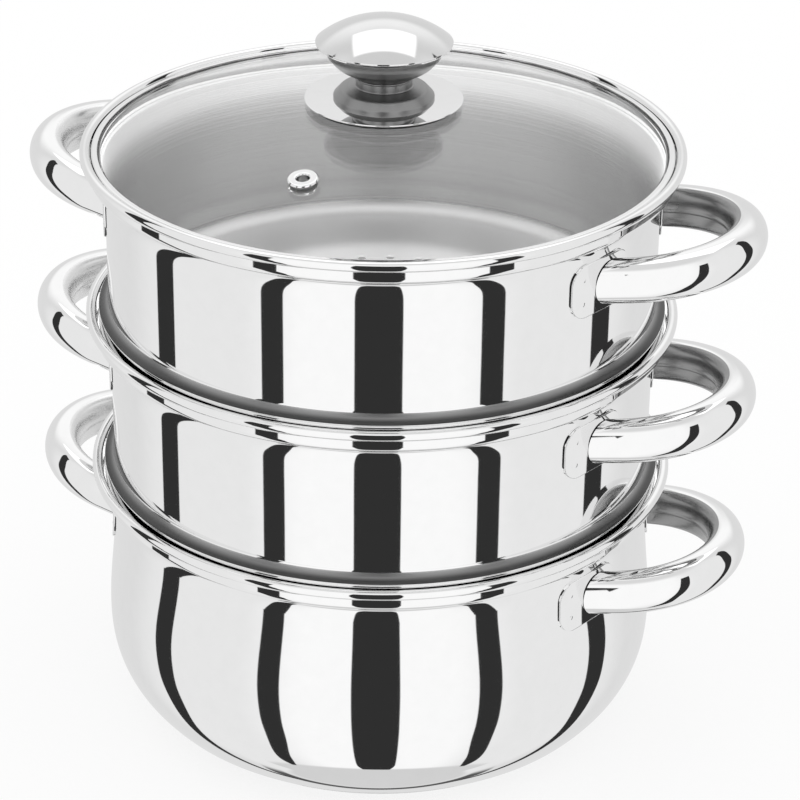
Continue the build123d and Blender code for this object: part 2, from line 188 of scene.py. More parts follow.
# %% Studio world
TENT, SIDE, BACK, ROOF, BELOW = 1.03, 0.86, 0.76, 0.74, 0.68
UNDER, FLAG, WINDOW = 0.1, 0.031, 1.3
SIDE_RAMP, BACK_RAMP, ROOF_RAMP = (30.0, 62.0), (105.0, 130.0), (52.0, 70.0)
STRIP_SIDE, STRIP_LOW, STRIP_HIGH = (125.0, 165.0), (17.0, 29.0), (-60.0, -34.0)
UNDER_SIDE, UNDER_RISE, UNDER_HALF = (115.0, 135.0), -69.0, 2.6
BELOW_RAMP, BELOW_FRONT, BELOW_ALL = (66.0, 69.0), (-95.0, -90.0), (72.0, 74.0)
WINDOW_WIDE, WINDOW_DEEP, WINDOW_BACK, WINDOW_SOFT = 0.5, 0.43, 0.57, 0.05
# A flag: middle, half width, drift and spread of its low part, top, lean of its high part.
FLAGS = (
    (-1.2, 9.8, 0.0, 0.002, 42.0, 0.0),
    (46.2, 5.05, 0.0165, 0.0, 38.0, 0.004),
    (-45.4, 4.8, 0.0165, 0.0, 38.0, 0.004),
    (102.3, 5.8, 0.045, 0.0, 45.0, 0.0135),
    (-100.3, 5.4, 0.045, 0.0, 45.0, 0.0135),
)
FLAG_STEEP, FLAG_LOW, FLAG_HIGH, FLAG_FOOT = -34.0, -61.0, 8.0, -69.0
FLAG_TAPER, FLAG_SOFT = 0.05, 0.25


def tent_tone(bearing, rise):
    """White in front, grey at the sides and behind, with the strip and the line behind."""
    side = bearing.abs()
    tone = mix_greys(side.ramp(*SIDE_RAMP), TENT, SIDE)
    tone = mix_greys(side.ramp(*BACK_RAMP), tone, BACK)
    strip = side.ramp(*STRIP_SIDE) * rise.ramp(*STRIP_LOW) * (-rise).ramp(*STRIP_HIGH)
    tone = mix_greys(strip, tone, TENT)
    line = (UNDER_HALF - (rise - UNDER_RISE).abs()).ramp(0.0, 1.0)
    return mix_greys(side.ramp(*UNDER_SIDE) * line, tone, UNDER)


def flags_in(bearing, rise):
    """1 inside a flag.

    Below FLAG_STEEP and above FLAG_HIGH a flag moves outwards with the square of the
    degrees past them. It tapers below FLAG_LOW and is cut level at its top and foot.
    """
    steep = (FLAG_STEEP - rise).at_least(0.0)
    low = (FLAG_LOW - rise).at_least(0.0)
    high = (rise - FLAG_HIGH).at_least(0.0)
    found = None
    for middle, half, drift, spread, top, lean in FLAGS:
        away = (bearing - middle) * math.copysign(1.0, middle)
        away = away - steep * steep * drift - high * high * lean
        reach = steep * steep * spread + half - low * low * FLAG_TAPER
        inside = (reach - away.abs()).ramp(-FLAG_SOFT, FLAG_SOFT)
        inside = inside * (top - rise).ramp(-2 * FLAG_SOFT, 2 * FLAG_SOFT)
        found = inside if found is None else found.at_least(inside)
    return found * (rise - FLAG_FOOT).ramp(0.0, 1.0)


def studio_world():
    """White for the camera, a tent with flags for mirrored rays."""
    world = bpy.data.worlds.new("studio")
    world.use_nodes = True
    tree = world.node_tree
    tree.nodes.clear()
    start = Sum(tree, None)
    x, y, z = start.node("ShaderNodeTexCoord", out=0).parts()
    turn = math.radians(FACING)
    right = x * math.cos(turn) + y * math.sin(turn)
    near = x * math.sin(turn) - y * math.cos(turn)
    bearing = start.maths("ARCTAN2", right, near) * (180 / math.pi)
    rise = start.maths("ARCSINE", z) * (180 / math.pi)
    tent = mix_greys(rise.ramp(*ROOF_RAMP), tent_tone(bearing, rise), ROOF)
    above = z.at_least(WINDOW_SOFT)
    wide = (WINDOW_WIDE - (right / above).abs()).ramp(0.0, WINDOW_SOFT)
    deep = (WINDOW_DEEP - (near / above + WINDOW_BACK).abs()).ramp(0.0, WINDOW_SOFT)
    tent = mix_greys(wide * deep * (z > WINDOW_SOFT), tent, WINDOW)
    below = (-rise).ramp(*BELOW_RAMP) * (-bearing.abs()).ramp(*BELOW_FRONT)
    tent = mix_greys(below + (-rise).ramp(*BELOW_ALL), tent, BELOW)
    colour = mix_greys(flags_in(bearing, rise), tent, FLAG)
    seen = start.node("ShaderNodeBackground", colour, 1.0)
    even = start.node("ShaderNodeBackground", (1, 1, 1, 1), 1.0)
    glossy = start.node("ShaderNodeLightPath", out=3)
    mixed = start.node("ShaderNodeMixShader", glossy, even, seen)
    output = tree.nodes.new("ShaderNodeOutputWorld")
    tree.links.new(mixed.socket, output.inputs["Surface"])
    bpy.context.scene.world = world


studio_world()
bpy.context.scene.view_settings.view_transform = "Standard"
print("world with", len(FLAGS), "flags")

# %% [markdown]
# ## Floor
# The pot stands on a white sweep. Most of its brightness is its own, so that the
# paper stays white and the contact shadow under the belly stays light.

# %% Floor
FLOOR_SIZE = 6.0
FLOOR_GLOW = 0.8


def floor():
    """A square sheet at the height of the pot's base."""
    half = FLOOR_SIZE / 2
    corners = [(-half, -half, 0), (half, -half, 0), (half, half, 0), (-half, half, 0)]
    mesh = bpy.data.meshes.new("floor")
    mesh.from_pydata(corners, [], [(0, 1, 2, 3)])
    piece = bpy.data.objects.new("floor", mesh)
    bpy.context.scene.collection.objects.link(piece)
    material = bpy.data.materials.new("white_sweep")
    material.use_nodes = True
    tree = material.node_tree
    tree.nodes.clear()
    start = Sum(tree, None)
    glow = start.node("ShaderNodeEmission", (1, 1, 1, 1), 1.0)
    paper = start.node("ShaderNodeBsdfDiffuse", (1, 1, 1, 1))
    mixed = start.node("ShaderNodeMixShader", 1 - FLOOR_GLOW, glow, paper)
    output = tree.nodes.new("ShaderNodeOutputMaterial")
    tree.links.new(mixed.socket, output.inputs["Surface"])
    mesh.materials.append(material)
    piece.visible_glossy = False


floor()
print("floor", FLOOR_SIZE, "m")

# %% [markdown]
# ## Finishes
# Outside, the steel is polished to a mirror. Real polished sheet still has a
# faint roll in its surface and a hint of haze, which a slow noise gives. Inside,
# the vessels are brushed on a lathe: fine rings that follow the radius on the
# floor and the height on the wall. Light from the open top rakes down that wall,
# and it is painted in: a glow and a lighter colour near the top, painted shade
# lower down, and a floor painted lighter. Where no polishing wheel reaches, such
# as the inner side of the loops, the steel stays satin, in two copies: one painted
# darker as shade, one painted lighter as light.

# %% Finishes
# How far the ledge lies below the rim. The other lengths here are in millimetres too.
LEDGE = 8.6
# Painted light inside the vessels: how deep the glow reaches and how strong it is.
GLOW_DEPTH, GLOW_FADE, FLOOR_BEND = 39.0, 9.0, 7.0
RIM_GLOW, WALL_GLOW, LEVEL_GLOW = 0.72, 0.42, 0.06
FIELD_RAMP = (-80.0, -65.0)
COVE_HEIGHT = 4.3


def finish(name, make, metal=1.0):
    """A material whose Principled shader is set up by a function."""
    material = bpy.data.materials.new(name)
    material.use_nodes = True
    tree = material.node_tree
    shader = tree.nodes["Principled BSDF"]
    shader.inputs["Metallic"].default_value = metal
    make(Sum(tree, None), shader)
    return material


def link(shader, name, value):
    """A sum into one of the shader's sockets."""
    value.tree.links.new(value.socket, shader.inputs[name])


def lathe(start):
    """Distance from the piece's axis and height, in metres."""
    x, y, z = start.node("ShaderNodeTexCoord", out=3).parts()
    return start.maths("SQRT", x * x + y * y), z


def noise(start, scale, detail=2.0, vector=None):
    """Noise over the piece's own coordinates, or over another vector."""
    vector = vector or start.node("ShaderNodeTexCoord", out=3)
    return start.node("ShaderNodeTexNoise", vector, None, scale, detail)


def ring_noise(start, scale, detail=2.0):
    """Noise that only changes with the radius and the height, for lathe marks."""
    radius, height = lathe(start)
    return noise(start, scale, detail, start.node("ShaderNodeCombineXYZ", radius, 0.0, height))


def bump(start, height, strength, distance):
    """A normal that leans with the slope of a height."""
    made = start.tree.nodes.new("ShaderNodeBump")
    made.inputs["Strength"].default_value = strength
    made.inputs["Distance"].default_value = distance
    start.tree.links.new(height.socket, made.inputs["Height"])
    return Sum(start.tree, made.outputs[0])


def grained(scale, dark, light, rough, spread, pattern=noise):
    """A plain finish: its grain mixes two greys and adds to the roughness."""
    def make(start, shader):
        grain = pattern(start, scale)
        link(shader, "Base Color", mix_greys(grain, dark, light))
        link(shader, "Roughness", grain * spread + rough)
    return make


def polished(dark, light, rough, spread):
    """Mirror polish with a faint roll and haze."""
    def make(start, shader):
        haze = noise(start, 160.0, 3.0)
        link(shader, "Base Color", mix_greys(haze, dark, light))
        link(shader, "Roughness", haze * spread + rough)
        link(shader, "Normal", bump(start, noise(start, 22.0), 0.02, 0.001))
    return make


def brushed_steel(rim, base, field):
    """Lathe-brushed steel between a rim and a base height: fine rings in bump and tone.

    The painted glow, which stands for light from the open top, falls with the square
    of the depth and is weaker on the rim's own corners above the ledge. The lower
    wall is painted greyer, as shade, and the floor painted lighter again, as light,
    with a faint glow. The middle field of a sieve floor gets more painted glow, as
    a highlight.
    """
    def make(start, shader):
        rings = ring_noise(start, 2600.0, 3.0)
        clouds = noise(start, 30.0)
        radius, z = lathe(start)
        # Masks for the painted light: the upper wall, below the ledge, the floor, its middle.
        lit = ((z - (rim - GLOW_DEPTH) * MM) / (GLOW_DEPTH * MM)).ramp(0.0, 1.0)
        below_rim = ((rim - LEDGE) * MM - z).ramp(0.0, GLOW_FADE * MM)
        level = (((base + FLOOR_BEND) * MM - z) / (FLOOR_BEND * MM)).ramp(0.0, 1.0)
        middle = (-radius).ramp(*[edge * MM for edge in FIELD_RAMP])
        # Painted light: an emission glow down the wall, on the floor and on a sieve's middle.
        glow = lit * lit * (below_rim * WALL_GLOW + RIM_GLOW)
        glow = glow + level * LEVEL_GLOW + level * middle * field
        # Painted light and shade: the wall is lighter near the top and greyer lower down.
        tone = mix_greys(lit, mix_greys(rings, 0.36, 0.46), 0.92)
        shader.inputs["Emission Strength"].default_value = 1.0
        # Painted light: the floor's colour is lighter than the wall's.
        link(shader, "Base Color", mix_greys(level, tone, 0.95))
        link(shader, "Emission Color", mix_greys(glow, 0.0, 1.0))
        link(shader, "Roughness", rings * 0.08 + clouds * 0.06 + level * 0.18 + 0.16)
        link(shader, "Normal", bump(start, rings, 0.25, 0.0004))
    return make


def cove_with_painted_shade(foot):
    """The step above a steamer's foot: mirror above, dark and satin in the corner.

    The share runs from 0 where the cove starts to 1 at its foot. Towards the foot the colour is
    painted darker, as shade in the corner.
    """
    def make(start, shader):
        share = ((foot + COVE_HEIGHT) * MM - lathe(start)[1]) / (COVE_HEIGHT * MM)
        light = share.ramp(0.0, 0.45)
        # Painted shade: the colour darkens to near black towards the foot of the cove.
        tone = mix_greys(share.ramp(0.35, 1.0), 0.36, 0.085)
        link(shader, "Base Color", mix_greys(light, 0.8, tone))
        link(shader, "Roughness", light * 0.24 + noise(start, 60.0) * 0.05 + 0.05)
    return make


def clear_glass(start, shader):
    """Clear tempered glass."""
    shader.inputs["Base Color"].default_value = (1, 1, 1, 1)
    shader.inputs["Roughness"].default_value = 0.0
    shader.inputs["IOR"].default_value = 1.48
    shader.inputs["Transmission Weight"].default_value = 1.0


MIRROR = finish("mirror_polished_steel", polished(0.90, 0.94, 0.02, 0.02))
GLASS = finish("clear_tempered_glass", clear_glass, metal=0.0)
SILICONE = finish("dark_silicone", grained(900.0, 0.03, 0.048, 0.5, 0.15), metal=0.0)
GREY_SILICONE = finish("grey_silicone", grained(900.0, 0.28, 0.448, 0.5, 0.15), metal=0.0)
BLANK = finish("blank_steel", grained(500.0, 0.55, 0.65, 0.25, 0.1))
# Satin for the loops' inner side, in two copies: painted darker as shade, lighter as light.
LINING_PAINTED_SHADE = finish("satin_steel_painted_shade", grained(60.0, 0.32, 0.416, 0.22, 0.08))
LINING_PAINTED_LIGHT = finish("satin_steel_painted_light", grained(60.0, 0.75, 0.975, 0.22, 0.08))
ALUMINIUM = finish("rolled_aluminium", grained(300.0, 0.72, 0.8, 0.35, 0.1))
FINISHES = {
    "polished_steel": MIRROR,
    "satin_steel": BLANK,
    "core_aluminium": ALUMINIUM,
    "clear_glass": GLASS,
    "soft_seal": SILICONE,
}
slots = {part["node"]: part["material_slot"] for part in frame["record"]["subparts"]}
for name, piece in frame["nodes"].items():
    material = GREY_SILICONE if name == "vent_grommet" else FINISHES[slots[name]]
    piece.data.materials.clear()
    piece.data.materials.append(material)
print("finishes", sorted(FINISHES))

# %% [markdown]
# ## Turned surfaces
# Pots, lids and knobs are pressed or turned, so each is a profile swept round an
# axis. The profile is a list of corners, each with its own rounding, as on a
# drawing. At every profile point the exact direction of the surface is known, so
# it is stored as the shading normal: a mirror then bends nowhere but where the
# real sheet bends.

# %% Profiles and turning
ROUND_STEPS = 8
AROUND = 320
EASE_FINE, EASE_EVEN, EASE_BENT = 2000, 26, 50


def circle(count, first=0.0):
    """Unit vectors at equal turns."""
    a = (np.arange(count) + first) * (2 * math.pi / count)
    return np.stack([np.cos(a), np.sin(a)], 1)


def ring_faces(low, high):
    """Faces between rows of vertex numbers, each row a closed ring."""
    return np.stack([low, np.roll(low, -1, -1), np.roll(high, -1, -1), high], -1).reshape(-1, 4)


def corner_arc(before, here, after, bend, steps):
    """Points and headings of the circle arc that rounds one corner."""
    back = (before - here) / np.linalg.norm(before - here)
    ahead = (after - here) / np.linalg.norm(after - here)
    half = math.acos(np.clip(back @ ahead, -1, 1)) / 2
    run = bend / math.tan(half)
    start = here + back * run
    side = np.array([-back[1], back[0]])
    if side @ ahead < 0:
        side = -side
    centre = start + side * bend
    sweep = math.pi - 2 * half
    turn = np.linspace(0, sweep, steps + 1)[:, None]
    spokes = np.cos(turn) * (start - centre) / bend - np.sin(turn) * back
    headings = -np.sin(turn) * (start - centre) / bend - np.cos(turn) * back
    return centre + spokes * bend, headings


def profile(corners, steps=ROUND_STEPS):
    """Points and headings along an open line of (radius, height, rounding) corners.

    Straight runs keep their two ends. Each corner becomes an arc that touches both
    runs, and points on the arc are centre plus rounding times a turning spoke.
    Corners without rounding are given twice, once with each heading. The third
    result says which corner each point belongs to.
    """
    at = np.array([corner[:2] for corner in corners], float)
    points, headings, owners = [], [], []
    for index, (*_, bend) in enumerate(corners):
        if 0 < index < len(corners) - 1 and bend:
            arc, way = corner_arc(at[index - 1], at[index], at[index + 1], bend, steps)
            points.extend(arc)
            headings.extend(way)
            owners.extend([index] * len(arc))
            continue
        for other, sign in ((index - 1, 1), (index + 1, -1)):
            if 0 <= other < len(corners):
                run = (at[index] - at[other]) * sign
                points.append(at[index])
                headings.append(run / np.linalg.norm(run))
                owners.append(index)
    return np.array(points), np.array(headings), np.array(owners)


def new_piece(name, vertices, faces, normals, materials, body, choice=None):
    """A smooth mesh object with exact normals that rides on a body.

    The choice gives the number of each face's material.
    """
    mesh = bpy.data.meshes.new(name)
    mesh.from_pydata(vertices.tolist(), [], faces)
    mesh.polygons.foreach_set("use_smooth", np.ones(len(mesh.polygons), bool))
    for material in materials:
        mesh.materials.append(material)
    if choice is not None:
        mesh.polygons.foreach_set("material_index", np.asarray(choice, np.int32))
    mesh.normals_split_custom_set_from_vertices(normals.tolist())
    mesh.update()
    piece = bpy.data.objects.new(name, mesh)
    bpy.context.scene.collection.objects.link(piece)
    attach(piece, body)
    return piece


def turned_mesh(points, headings, around, lift=0.0, place=None):
    """Vertices, faces and normals of a profile swept round the axis.

    A vertex is (radius * cos(angle), radius * sin(angle), height). Its normal is
    the heading turned a quarter to the right, swept the same way. A profile point
    on the axis is one vertex, so the pole is closed.
    """
    spin = circle(around)
    out = np.stack([headings[:, 1], -headings[:, 0]], 1)
    vertices, normals, rows = [], [], []
    count = 0
    for (radius, height), (away, up) in zip(points, out):
        if radius < 1e-9:
            vertices.append(np.array([[0, 0, height]]))
            normals.append(np.array([[0, 0, math.copysign(1, up)]]))
            rows.append(np.full(around, count))
            count += 1
        else:
            vertices.append(np.column_stack([radius * spin, np.full(around, height)]))
            normals.append(np.column_stack([away * spin, np.full(around, up)]))
            rows.append(np.arange(count, count + around))
            count += around
    vertices = np.concatenate(vertices)
    normals = np.concatenate(normals)
    vertices[:, 2] += lift
    faces, strips = [], []
    for index in range(len(rows) - 1):
        low, high = rows[index], rows[index + 1]
        if np.allclose(points[index], points[index + 1], atol=1e-9):
            continue
        if low[0] == low[-1] and high[0] == high[-1]:
            continue
        ring = ring_faces(low, high)
        if low[0] == low[-1]:
            ring = ring[:, [0, 2, 3]]
        elif high[0] == high[-1]:
            ring = ring[:, [0, 1, 2]]
        faces.extend(ring.tolist())
        strips.extend([index] * around)
    if place is not None:
        turn = np.array(place.to_3x3())
        vertices = vertices @ turn.T + np.array(place.translation)
        normals = normals @ turn.T
    return vertices, faces, normals, np.array(strips)


def eased(points, headings, owners, first, last, spread):
    """The stretch between two corners with its bends faded into one another.

    The direction along the stretch is averaged over a hump as long as the spread,
    and the line is the running sum of that direction. What is left over at the
    end is shared out along the whole stretch.
    """
    begin = np.flatnonzero(owners == first)[-1]
    end = np.flatnonzero(owners == last)[-1]
    part, way = points[begin:end + 1], headings[begin:end + 1]
    along = np.concatenate([[0], np.cumsum(np.linalg.norm(np.diff(part, axis=0), axis=1))])
    fine = np.linspace(0, along[-1], EASE_FINE)
    angle = np.interp(fine, along, np.unwrap(np.arctan2(way[:, 1], way[:, 0])))
    half = max(int(spread / fine[1] / 2), 1)
    hump = np.hanning(2 * half + 3)[1:-1]
    angle = np.convolve(np.pad(angle, half, mode="edge"), hump / hump.sum(), mode="valid")
    step = np.stack([np.cos(angle), np.sin(angle)], 1)
    run = np.cumsum((step[1:] + step[:-1]) / 2 * fine[1], axis=0)
    line = part[0] + np.concatenate([[[0, 0]], run])
    line += (part[-1] - line[-1]) * (fine / fine[-1])[:, None]
    turned_by = np.abs(np.diff(angle)).cumsum()
    keep = np.unique(np.concatenate([
        np.linspace(0, len(fine) - 1, EASE_EVEN).astype(int),
        np.searchsorted(turned_by, np.linspace(0, turned_by[-1], EASE_BENT)),
    ]))
    return (
        np.concatenate([points[:begin], line[keep], points[end + 1:]]),
        np.concatenate([headings[:begin], step[keep], headings[end + 1:]]),
        np.concatenate([owners[:begin], np.full(len(keep), last), owners[end + 1:]]),
    )


def turned(name, corners, body, material=None, lift=0.0, finishes=(), ease=(),
           steps=ROUND_STEPS, around=AROUND, place=None):
    """A turned piece. Finishes are (first corner, material) pairs, each up to the next one."""
    points, headings, owners = profile(corners, steps)
    for stretch in ease:
        points, headings, owners = eased(points, headings, owners, *stretch)
    vertices, faces, normals, strips = turned_mesh(points, headings, around, lift, place)
    materials = [material or MIRROR] + [pair[1] for pair in finishes]
    choice = None
    if finishes:
        choice = sum((owners[strips + 1] >= pair[0]).astype(int) for pair in finishes)
    return new_piece(name, vertices * MM, faces, normals, materials, body, choice=choice)


print("turning ready,", AROUND, "steps round")

# %% [markdown]
# ## Rim, collar and ledge
# All three vessels end in the same pressed rim. The wall bends out over a ledge
# that the next tier stands on, runs up as a collar and is rolled over into a
# round lip. The photo shows a lens-shaped dark spot on the lip, which only a
# rolled bead mirrors, and dark stripes with round lower ends on the collar, where
# its lower edge turns in. One list of corners serves all vessels.

# %% Rim corners
SHEET = 0.7
WALL = 110.5
COLLAR = 116.9
COLLAR_INNER = 115.7
LIP_OUTER = 119.7


def rim(neck):
    """Corners of ledge, collar and lip from the outside wall to the inside wall."""
    return [
        (neck, -14.9, 24.0),
        (neck + 0.63, -11.6, 3.5),
        (neck + 2.0, -10.1, 1.0),
        (COLLAR, -10.1, 3.2),
        (COLLAR, -3.7, 0.4),
        (LIP_OUTER, -3.7, 1.95),
        (LIP_OUTER, 0.3, 1.95),
        (COLLAR_INNER, 0.3, 1.95),
        (COLLAR_INNER, -LEDGE, 0.4),
        (neck - SHEET, -LEDGE, 1.0),
    ]


print("rim of", len(rim(WALL)), "corners")

# %% [markdown]
# ## Pot
# The lowest vessel has a slightly bellied wall over a round bottom edge. Its
# floor sits on a thick capsule: an aluminium disc in a steel cap.

# %% Pot
POT_NECK, POT_BELLY, POT_DEPTH = 111.1, 114.4, 105.0
NECK_AT, NECK_BEND = -31.5, 250.0
BELLY_AT, BELLY_BEND = -61.5, 157.0
EDGE_AT, EDGE_BEND = -72.5, 43.5
EIGHTH = math.tan(math.radians(22.5))


def pot_wall(inset):
    """Corners from the floor's edge up to the neck, set in from the outer face."""
    turn = EDGE_AT - EIGHTH * EDGE_BEND
    shift = inset * EIGHTH
    return [
        (POT_BELLY - (POT_DEPTH + turn) - shift, inset - POT_DEPTH, 3.0),
        (POT_BELLY - inset, shift + turn, EDGE_BEND - inset),
        (POT_BELLY - inset, BELLY_AT, BELLY_BEND - inset),
        (POT_NECK - inset, NECK_AT, NECK_BEND + inset),
    ]


pot_corners = [(0, -POT_DEPTH, 0)] + pot_wall(0) + rim(POT_NECK)
pot_floor = POT_RIM - POT_DEPTH + SHEET
# The pot's inside has painted light: a glow down the wall and a lighter floor.
pot_brushed = finish("pot_brushed_steel", brushed_steel(POT_RIM, pot_floor, 0.0))
pot = turned(
    "pot_vessel",
    pot_corners + pot_wall(SHEET)[::-1] + [(0, SHEET - POT_DEPTH, 0)],
    "pot",
    lift=POT_RIM,
    finishes=((len(pot_corners) - 1, pot_brushed),),
    ease=((1, 4, 30.0), (4, 6, 7.0)),
)
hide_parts("pot_body")
print("pot", len(pot.data.polygons), "faces")

# %% [markdown]
# ## Capsule base
# The cap of the capsule is a shallow steel cup pressed over the aluminium. Only
# a narrow band of its side shows under the belly.

# %% Capsule
BASE_RADIUS, BASE_EDGE, BASE_SHEET = 93.0, 1.3, 0.8
BASE_TOP = POT_RIM - POT_DEPTH - 0.1
cap = turned(
    "capsule_cap",
    [
        (0, 0, 0),
        (BASE_RADIUS, 0, 1.8),
        (BASE_RADIUS, BASE_TOP, 1.1),
        (BASE_RADIUS - BASE_EDGE, BASE_TOP, 0),
        (BASE_RADIUS - BASE_EDGE, BASE_SHEET, 1.0),
        (0, BASE_SHEET, 0),
    ],
    "pot",
)
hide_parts("pot_base_cap")
print("capsule", len(cap.data.polygons), "faces")

# %% [markdown]
# ## Steamers
# A steamer is the same rim on a straight wall. Near its bottom a standing foot
# curves out of the wall and drops into the collar below, where it stands on the
# ledge. The floor is punched with rings of holes. Every hole gets its own cell of
# the floor, a piece of a ring. The cell runs from the edge of the hole out to the
# cell's border, so the cells tile the floor without cutting any mesh.

# %% Steamers
SEAT = -PITCH - LEDGE
FOOT, FOOT_TOP, FOOT_SHEET = 114.6, -67.4, 0.9
FLOOR_TOP = -76.6
HOLE, HOLE_POINTS, HOLE_ROUND = 2.0, 32, 0.15
RING_PITCH, RINGS = 11.6, 5
SIEVE = RING_PITCH * (RINGS + 0.5)
# Strength of the painted glow in the middle of a sieve floor, standing for light.
FIELD_GLOW = 0.3


def steamer_corners():
    """Corners from the sieve's border underneath, round the rim and back above it."""
    bottom = FLOOR_TOP - SHEET
    below = [
        (SIEVE, bottom, 0),
        (WALL, bottom, 5.5),
        (WALL, FOOT_TOP - FOOT_SHEET, 0.2),
        (FOOT - FOOT_SHEET, FOOT_TOP - FOOT_SHEET, 0.2),
        (FOOT - FOOT_SHEET, SEAT, 0.2),
        (FOOT, SEAT, 0.2),
        (FOOT, FOOT_TOP, 0.18),
        (WALL, FOOT_TOP, 3.9),
    ]
    inside = [(WALL - SHEET, FLOOR_TOP, 7.5), (SIEVE, FLOOR_TOP, 0)]
    return below, rim(WALL), inside


def hole_cell(ring, step):
    """Border of a cell, edge of its hole and outward rays, in the plane of the floor.

    Round the hole runs an angle a. The border of the cell is the square that the
    ray at angle a meets, bent into the ring: its two sides are a radius and a
    bearing.
    """
    ray = circle(HOLE_POINTS)
    square = ray / np.abs(ray).max(1)[:, None]
    count = 6 * ring
    bearing = 2 * math.pi * step / count
    far = ring * RING_PITCH + square[:, 0] * RING_PITCH / 2
    angle = bearing + square[:, 1] * math.pi / count
    border = np.stack([far * np.cos(angle), far * np.sin(angle)], 1)
    c, s = math.cos(bearing), math.sin(bearing)
    ray = ray @ np.array([[c, s], [-s, c]])
    return border, ring * RING_PITCH * np.array([c, s]) + ray * HOLE, ray


def middle_cell():
    """The cell of the central hole, whose border is a circle."""
    ray = circle(HOLE_POINTS)
    return ray * RING_PITCH / 2, ray * HOLE, ray


def sieve_mesh():
    """All cells of the floor, each with rounded hole edges above and below."""
    cells = [middle_cell()]
    for ring in range(1, RINGS + 1):
        cells += [hole_cell(ring, step) for step in range(6 * ring)]
    turn = np.linspace(0, math.pi / 2, 4)
    bends = [(t, -1.0) for t in turn] + [(t, 1.0) for t in turn[::-1]]
    vertices, normals, faces = [], [], []
    for border, hole, ray in cells:
        first = sum(len(v) for v in vertices)
        rows = [(border, FLOOR_TOP - SHEET, 0 * ray, -1.0)]
        for t, face in bends:
            inset, sunk = HOLE_ROUND * (1 - math.sin(t)), HOLE_ROUND * (1 - math.cos(t))
            height = FLOOR_TOP - sunk if face > 0 else FLOOR_TOP - SHEET + sunk
            rows.append((hole + ray * inset, height, -ray * math.sin(t), face * math.cos(t)))
        rows.append((border, FLOOR_TOP, 0 * ray, 1.0))
        for flat, height, away, up in rows:
            vertices.append(np.column_stack([flat, np.full(HOLE_POINTS, height)]))
            normals.append(np.column_stack([away, np.full(HOLE_POINTS, up)]))
        index = first + np.arange(len(rows) * HOLE_POINTS).reshape(len(rows), HOLE_POINTS)
        faces.extend(ring_faces(index[1:], index[:-1]).tolist())
    return np.concatenate(vertices), faces, np.concatenate(normals)


def steamer(prefix, height):
    """Shell and sieve floor of one tier."""
    below, edge, inside = steamer_corners()
    # The cove is painted darker towards its foot as shade, and the inside gets painted light.
    cove = finish(prefix + "_cove_steel", cove_with_painted_shade(height + FOOT_TOP))
    brushed = finish(
        prefix + "_brushed_steel", brushed_steel(height, height + FLOOR_TOP, FIELD_GLOW)
    )
    turn = len(below) - 1
    top = len(below + edge) - 1
    shell = turned(
        prefix + "_shell", below + edge + inside, prefix, lift=height,
        finishes=((turn, cove), (turn + 1, MIRROR), (top, brushed)), ease=((turn, turn + 2, 7.0),),
    )
    vertices, faces, normals = sieve_mesh()
    vertices[:, 2] += height
    sieve = new_piece(prefix + "_sieve", vertices * MM, faces, normals, [brushed], prefix)
    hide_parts(prefix + "_body")
    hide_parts(prefix + "_body")


for prefix, height in (("lower_steamer", LOWER_RIM), ("upper_steamer", UPPER_RIM)):
    steamer(prefix, height)
print("steamers with", 1 + 3 * RINGS * (RINGS + 1), "holes each")

# %% [markdown]
# ## Loop handles
# Each handle is a hollow loop of pressed sheet, closed by a seam on its inner
# side. Its centre line is half an ellipse that rises a little outwards. The
# section is fuller outside and flatter inside, where the fingers go. The inner
# side has a satin finish, painted darker as shade on the right loop and lighter
# as light on the left one, and the two ends stop on the face of the weld tabs.

# %% Handles
SPAN, CENTRE, REACH = 39.1, 106.0, 41.2
HANDLE_DEPTH, HANDLE_RISE = 27.5, 5.5
HALF_HEIGHT, HALF_WIDTH = (8.5, 9.0), (7.4, 7.8)
FLAT_POWER, FLAT_WIDTH = 0.62, 0.93
SEAM, SEAM_WIDTH = 0.35, 0.55
TAB_SHEET = 0.9
HANDLE_TURN = 2.5
TUBE_START, TUBE_ALONG, TUBE_ROUND = 0.035, 150, 96
END_SHARE = 0.7
LINING_EDGE = -0.25
FLARE_END, FLARE_POWER = 0.2, 1.2
# Each loop: side, turn, flare of its normals, and its lining: painted shade right, light left.
LOOPS = (
    ("right", HANDLE_TURN, 24.0, LINING_PAINTED_SHADE),
    ("left", 180 - HANDLE_TURN, 0.0, LINING_PAINTED_LIGHT),
)


def wall_at(swell, height):
    """Outside radius of the wall under the tabs.

    The steamer's wall is straight. The pot's neck goes over into its belly on an
    arc: radius plus bend minus the root of bend squared minus drop squared, and
    below the arc along a straight line.
    """
    if not swell:
        return np.full(np.shape(height), WALL)
    lean = math.atan2(POT_BELLY - POT_NECK, NECK_AT - BELLY_AT)
    drop = np.maximum(NECK_AT + NECK_BEND * math.tan(lean / 2) - height, 0)
    end = NECK_BEND * math.sin(lean)
    on_arc = NECK_BEND - np.sqrt(NECK_BEND ** 2 - np.minimum(drop, end) ** 2)
    return POT_NECK + on_arc + np.maximum(drop - end, 0) * math.tan(lean)


def handle_line(share):
    """Points and headings of the centre line for shares of half a turn."""
    a = math.pi * share
    points = np.stack([
        CENTRE + REACH * np.sin(a), -SPAN * np.cos(a), -HANDLE_DEPTH + HANDLE_RISE * np.sin(a)
    ], -1)
    way = np.stack([REACH * np.cos(a), SPAN * np.sin(a), HANDLE_RISE * np.cos(a)], -1)
    return points, way / np.linalg.norm(way, axis=-1, keepdims=True)


